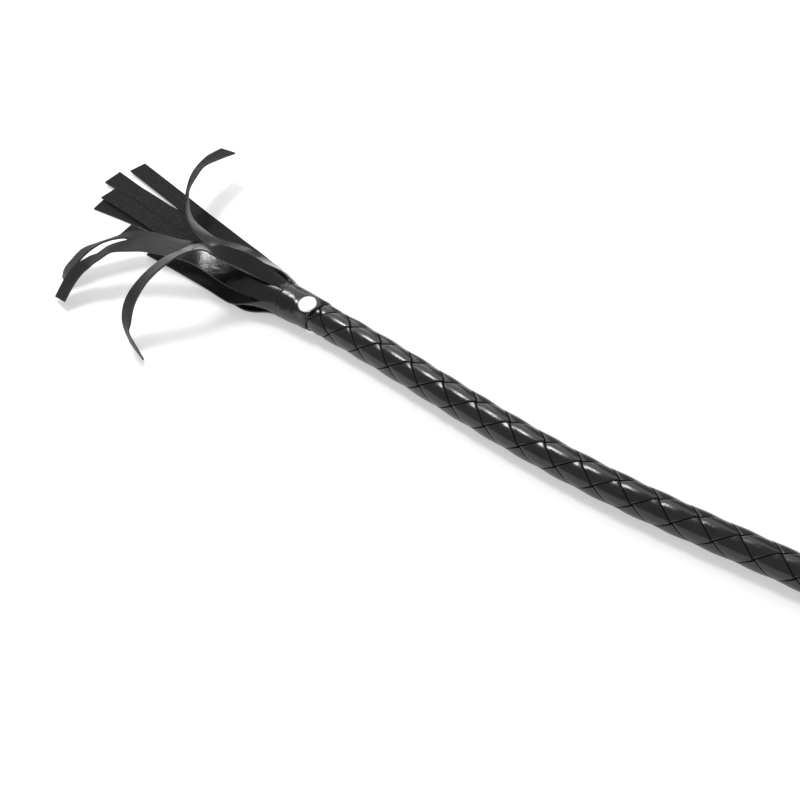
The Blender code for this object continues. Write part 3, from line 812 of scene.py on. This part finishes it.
def build_falls():
    """Falls cut round the mouth, which start with its curve, then those that end the fan."""
    for name, (degrees, (low, high), depth, points) in RING_FALLS.items():
        centre = (low + high) / 2.0
        angle = math.radians(centre)
        radii = [collar_radius(s, centre) - depth - SHEET / 2.0 for s in (COLLAR_MOUTH, MOUTH)]
        radii[1] += MOUTH_BULGE.get(name, 0.0)
        root = [(s, r * math.cos(angle), r * math.sin(angle), 0.0)
                for s, r in zip((COLLAR_MOUTH - ROOT_GAP, MOUTH), radii)]
        side = Vector((0.0, -math.sin(angle), math.cos(angle)))
        turn = degrees - centre
        route = [(s, y, z, twist + turn * smoothstep(-s, -MOUTH, TURNED_AT))
                 for s, y, z, twist in spread_points(name, points)]
        curve = spline_points(root + route, 10)
        half = radii[0] * math.radians(high - low) / 2.0
        build_strip(name, curve, side, radii[1], half, FALL_WIDTH)
    for name, points in FAN_FALLS.items():
        curve = spline_points([(*p, 0.0) for p in points], 10)
        build_strip(name, curve, Vector((0.0, 1.0, 0.0)), None, FAN_FALL_WIDTH / 2.0,
                    FAN_FALL_WIDTH)


# Rivet and butt

def rivet_frame():
    """Place of the rivet: X of its profile runs up its leaning axis."""
    turn = Matrix.Rotation(math.radians(RIVET_LEAN), 4, "X")
    upright = Matrix.Rotation(math.radians(-90.0), 4, "Y")
    place = Vector((station_to_x(0.0), RIVET_SIDE, 0.0)) * MM
    return Matrix.Translation(place) @ turn @ upright


def build_rivet():
    profile = [(8.28, 0.0), (8.28, 1.2), (8.25, 2.3), (8.20, 3.0), (8.16, 3.3), (8.18, 3.5),
               (8.15, 3.9), (8.07, 4.25), (7.96, 4.45), (7.85, 4.5), (7.4, 4.5), (7.4, 0.0)]
    cap = lathe_object("rivet_cap_domed", profile)
    cap.data.transform(rivet_frame())
    finish_piece(cap, [NICKEL], "crop", ["rivet_cap"])
    back = [(7.35, 0.0), (7.35, 1.5), (-7.7, 1.5), (-7.9, 1.7), (-7.95, 2.4), (-8.05, 2.6),
            (-8.2, 2.55), (-8.33, 2.3), (-8.4, 1.7), (-8.4, 0.0)]
    base = lathe_object("rivet_post", back)
    base.data.transform(rivet_frame())
    finish_piece(base, [NICKEL], "crop", ["rivet_base"])


def rounded(x, radius, size, steps):
    """Points of a rounded corner, from the end face to the side."""
    points = []
    for i in range(steps + 1):
        angle = math.radians(90.0 * i / steps)
        points.append((x - size + size * math.cos(angle), radius - size + size * math.sin(angle)))
    return points


def build_butt():
    edge = rounded(0.0, REST_RADIUS, CAP_ROUNDING, 8)
    profile = [(0.0, 0.0)] + edge
    profile += [(-8.6, 9.3), (-8.8, 9.05), (-9.3, 9.05), (-9.5, 9.3), (-11.35, 9.3),
                (-11.65, 9.1), (-11.65, 7.6), (-15.6, 7.6), (-15.6, 2.9), (-4.6, 2.9),
                (-4.6, 0.0)]
    finish_piece(lathe_object("butt_cap_moulded", profile), [PLASTIC], "crop",
                 ["butt_cap"])
    rings = [(-12.0, 8.0), (-12.0, 8.8), (-12.3, 9.1), (-13.6, 9.1), (-13.9, 8.85),
             (-14.4, 8.85), (-14.7, 9.1), (-31.3, 9.1), (-31.6, 8.85), (-32.1, 8.85),
             (-32.4, 9.1), (-33.7, 9.1), (-34.0, 8.8), (-34.0, 8.0)]
    finish_piece(lathe_object("butt_ferrule_ringed", rings), [NICKEL], "crop",
                 ["butt_ferrule"])


def paint_kept_nodes():
    """Inside pieces keep their CAD shape and get a better material."""
    for node, material in (("core_rod", FIBRE), ("core_sleeve", FILLER), ("tip_plug", PLUG),
                           ("butt_binding", THREAD)):
        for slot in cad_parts[node].material_slots:
            slot.material = material


# Stage, light and camera

def build_floor():
    mesh = bpy.data.meshes.new("floor")
    size = FLOOR_HALF
    z = -REST_RADIUS * MM - FLOOR_GAP
    mesh.from_pydata([(-size, -size, z), (size, -size, z), (size, size, z), (-size, size, z)],
                     [], [(0, 1, 2, 3)])
    floor = bpy.data.objects.new("floor", mesh)
    m = Nodes("floor_paper")
    m.set(Base_Color=(0.90, 0.90, 0.90, 1.0), Roughness=0.9, Specular_IOR_Level=0.1,
          Emission_Color=(1.0, 1.0, 1.0, 1.0), Emission_Strength=0.45)
    mesh.materials.append(m.material)
    bpy.context.scene.collection.objects.link(floor)


def build_world():
    world = bpy.data.worlds.new("studio")
    world.use_nodes = True
    background = world.node_tree.nodes["Background"]
    background.inputs["Color"].default_value = (1.0, 1.0, 1.0, 1.0)
    background.inputs["Strength"].default_value = WORLD_STRENGTH
    bpy.context.scene.world = world


def add_softbox(name, place, aim_x, size, power):
    data = bpy.data.lights.new(name, "AREA")
    data.shape = "RECTANGLE"
    data.size, data.size_y = size
    data.energy = power
    lamp = bpy.data.objects.new(name, data)
    lamp.location = place
    towards = Vector((aim_x, 0.0, 0.0)) - Vector(place)
    lamp.rotation_euler = towards.to_track_quat("-Z", "Y").to_euler()
    bpy.context.scene.collection.objects.link(lamp)


def build_camera():
    azimuth, elevation = math.radians(CAMERA_AZIMUTH), math.radians(CAMERA_ELEVATION)
    back = Vector((math.sin(azimuth) * math.cos(elevation),
                   -math.cos(azimuth) * math.cos(elevation), math.sin(elevation)))
    data = bpy.data.cameras.new("camera")
    data.lens = CAMERA_LENS
    data.sensor_width = 36.0
    data.shift_x, data.shift_y = CAMERA_SHIFT
    data.clip_start, data.clip_end = 0.01, 50.0
    camera = bpy.data.objects.new("camera", data)
    camera.location = Vector(CAMERA_TARGET) + back * CAMERA_DISTANCE
    camera.rotation_euler = back.to_track_quat("Z", "Y").to_euler()
    bpy.context.scene.collection.objects.link(camera)
    bpy.context.scene.camera = camera


build_camera()
build_floor()
build_world()
for softbox in SOFTBOXES:
    add_softbox(*softbox)
for strand in range(3):
    build_strand(f"braid_left_{strand + 1}", strand, 1)
    build_strand(f"braid_right_{strand + 1}", strand, -1)
build_collar()
build_fan()
build_falls()
build_rivet()
build_butt()
paint_kept_nodes()
bpy.context.scene.view_settings.view_transform = "Standard"
